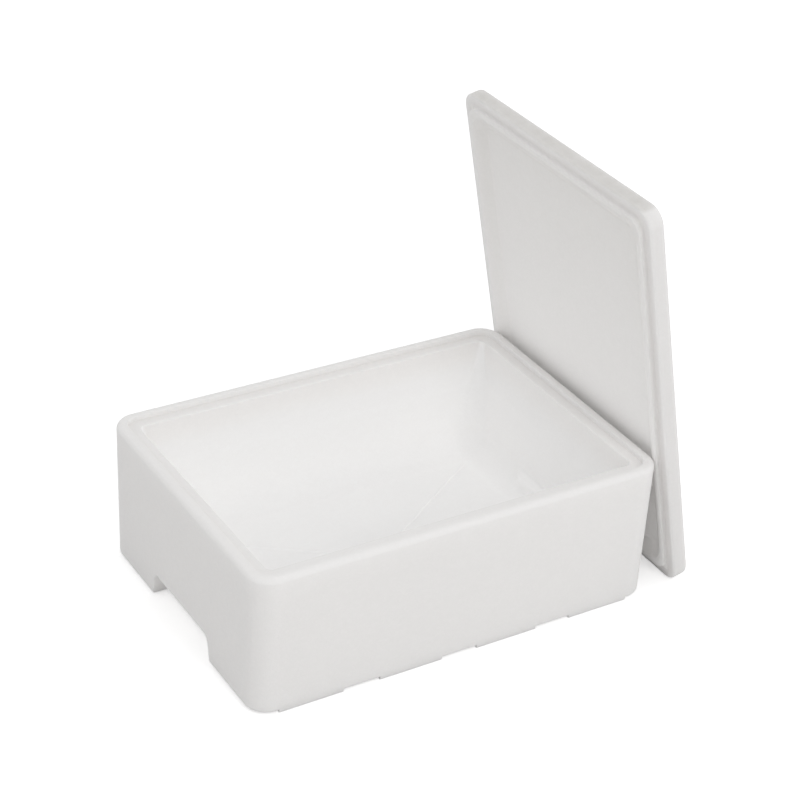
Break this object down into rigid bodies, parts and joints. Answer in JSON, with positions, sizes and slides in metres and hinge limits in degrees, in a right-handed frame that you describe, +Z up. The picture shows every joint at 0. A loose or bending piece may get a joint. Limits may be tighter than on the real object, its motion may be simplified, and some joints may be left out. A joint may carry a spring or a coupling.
{
  "type": "insulated foam box",
  "caption": "Thick-walled white moulded foam box with hand holds and base bars, its lid, with a ridge that seats inside the rim, standing on edge and leaning on the rim.",
  "frame": {"origin": "middle of the tub's base, on the ground it stands on", "axes": "+X along the tub's long side, towards the standing lid; +Y across the tub; +Z up"},
  "size_m": [0.613, 0.39, 0.5391],
  "materials": {
    "tub_foam": "matte moulded bead foam",
    "lid_foam": "matte moulded bead foam"
  },
  "bodies": {
    "root": {"tub": "tub_foam", "lid": "lid_foam"}
  },
  "joints": []
}
